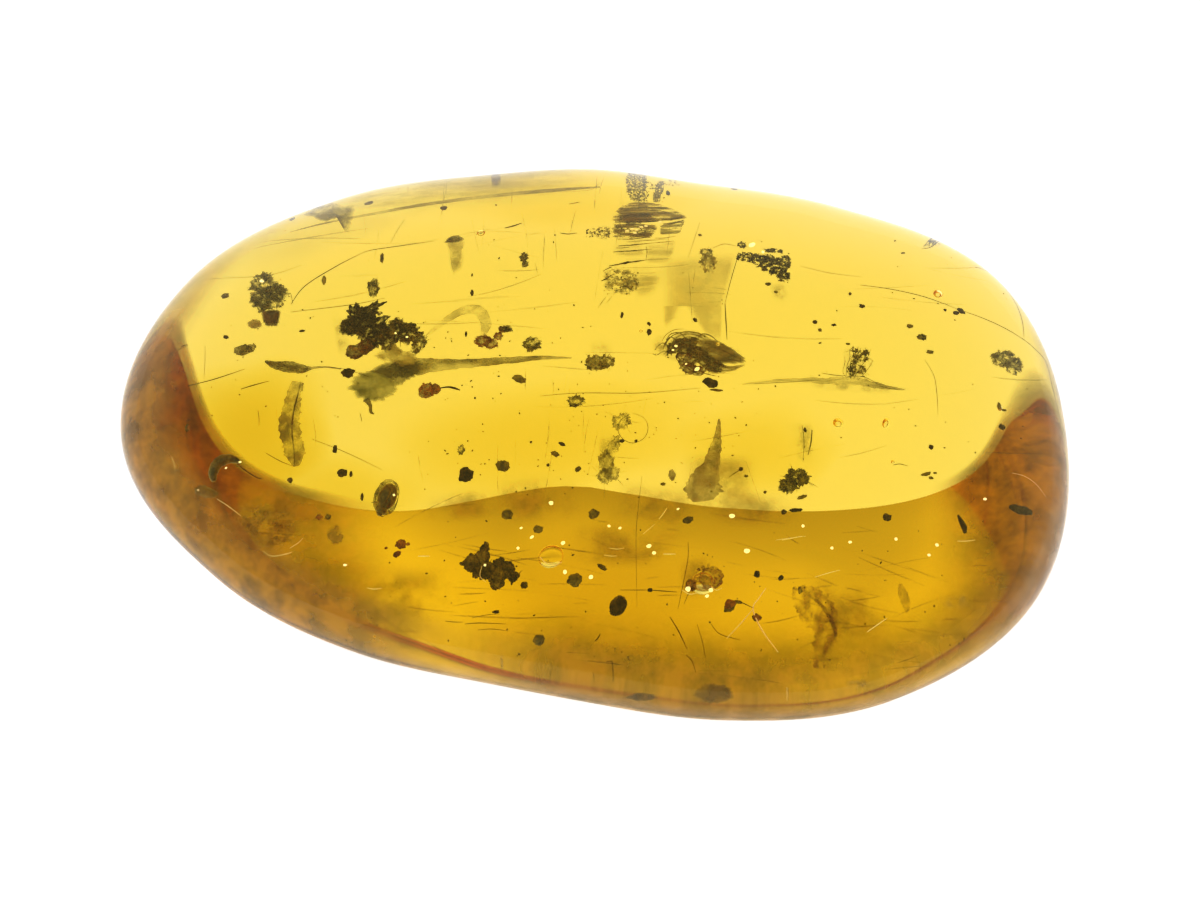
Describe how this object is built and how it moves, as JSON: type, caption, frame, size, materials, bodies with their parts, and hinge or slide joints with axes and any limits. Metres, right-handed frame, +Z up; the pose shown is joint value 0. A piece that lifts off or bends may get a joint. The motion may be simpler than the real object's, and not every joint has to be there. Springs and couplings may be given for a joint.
{
  "type": "insect in amber",
  "caption": "Polished pebble of clear golden amber, parted at its girdle, with a small winged insect, a beetle and plant debris sealed in pockets.",
  "frame": {"origin": "bottom centre of the bounding box, on the plane of the flat facet that the pebble rests on", "axes": "+Z up from the resting facet, +X along the pebble's long side, -Y towards the sloping near side"},
  "size_m": [0.0314, 0.0207, 0.0094],
  "materials": {
    "amber": "polished clear amber",
    "insect_brown": "dark brown chitin, satin",
    "beetle_brown": "dark brown chitin, glossy",
    "bark_dark": "crumbled dark bark",
    "bark_red": "red-brown bark and leaf scraps",
    "wood_grey": "weathered splintered wood",
    "leaf_olive": "thin olive-brown leaf tissue",
    "moss_green": "grainy dark olive plant matter",
    "membrane_grey": "thin grey-green membrane"
  },
  "bodies": {
    "root": {"amber_top": "amber", "amber_base": "amber", "gnat": "insect_brown", "beetle": "beetle_brown", "bark_clump_large": "bark_dark", "bark_clump_small": "bark_red", "wood_splinter": "wood_grey", "grain_clump": "moss_green", "plant_tuft": "moss_green", "leaf_sliver": "leaf_olive", "spindle_bud": "leaf_olive", "membrane_scrap": "membrane_grey", "stem_strip": "bark_red", "red_seed": "bark_red", "grass_blade": "leaf_olive", "thorn": "bark_red", "moss_lump": "moss_green", "frass_pellet": "bark_dark", "dark_cluster": "bark_dark", "leaf_scrap": "bark_red", "olive_crumb": "leaf_olive", "green_clump": "moss_green", "curled_larva": "beetle_brown", "wool_tuft": "moss_green", "seed_husk": "bark_red", "resin_crumb": "bark_red", "olive_flake": "leaf_olive"}
  },
  "joints": []
}
